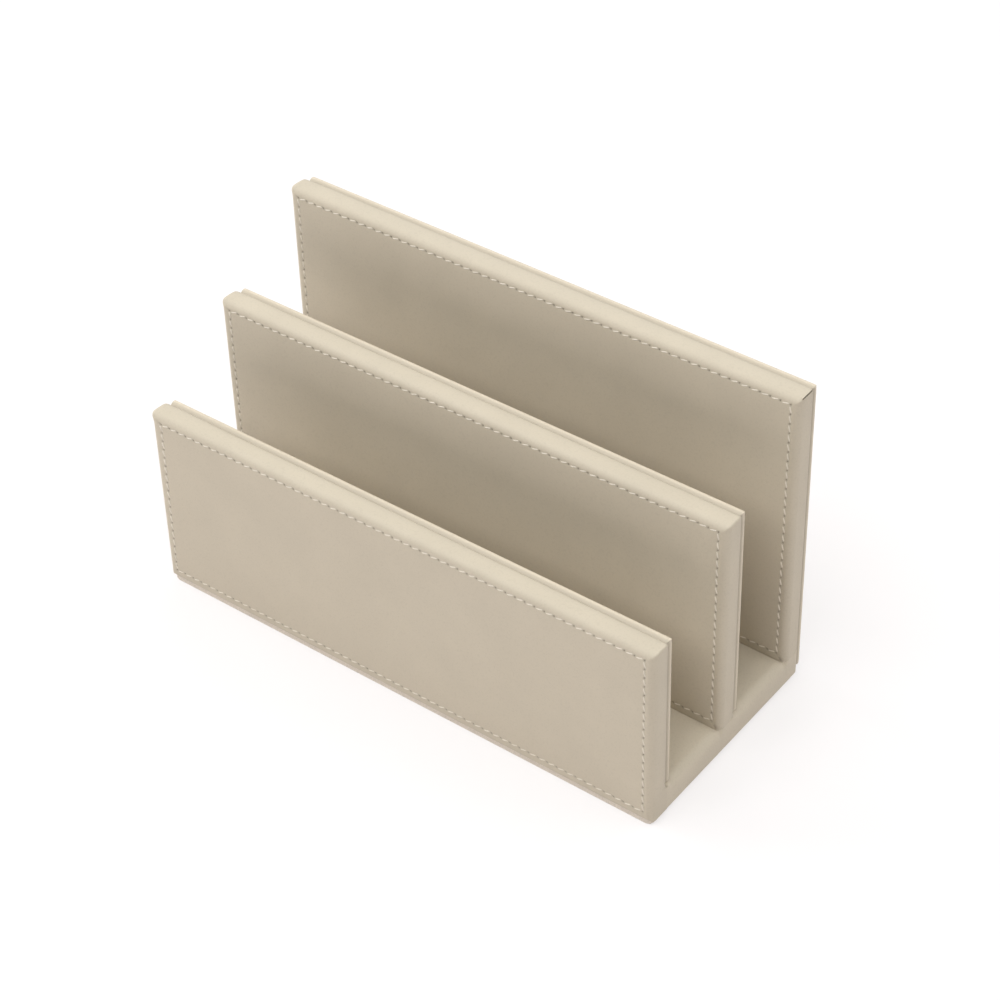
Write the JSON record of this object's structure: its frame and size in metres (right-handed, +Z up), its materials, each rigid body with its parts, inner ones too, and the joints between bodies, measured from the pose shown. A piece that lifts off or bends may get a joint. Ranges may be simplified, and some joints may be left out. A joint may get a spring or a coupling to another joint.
{
  "type": "letter holder",
  "caption": "Free-standing desk letter holder: leather-covered dividers stepped up towards the back, with topstitched fronts, on a leather-covered base, leaving open slots for letters.",
  "frame": {"origin": "on the desk, in the middle of the footprint", "axes": "+X along the letters, to the right seen from the front; +Y from the front divider to the rear one; +Z up from the desk"},
  "size_m": [0.24, 0.1052, 0.143],
  "materials": {
    "leather": "smooth semi-matte",
    "lining_leather": "smooth semi-matte",
    "thread": "waxed twisted thread",
    "board": "bare fibreboard",
    "foam": "thin foam sheet",
    "card": "bare grey card",
    "felt": "short suede nap",
    "brad_steel": "plain",
    "dowel_wood": "bare beech"
  },
  "bodies": {
    "root": {"base_board": "board", "base_cover": "leather", "underside_card": "card", "underside_felt": "felt", "divider_brads": "brad_steel", "front_dowels": "dowel_wood", "front_board": "board", "front_foam": "foam", "front_cover": "leather", "front_stitching": "thread", "front_lining_card": "card", "front_lining_cover": "lining_leather", "middle_board": "board", "middle_foam": "foam", "middle_cover": "leather", "middle_stitching": "thread", "middle_lining_card": "card", "middle_lining_cover": "lining_leather", "rear_board": "board", "rear_foam": "foam", "rear_cover": "leather", "rear_stitching": "thread", "rear_lining_card": "card", "rear_lining_cover": "lining_leather"}
  },
  "joints": []
}
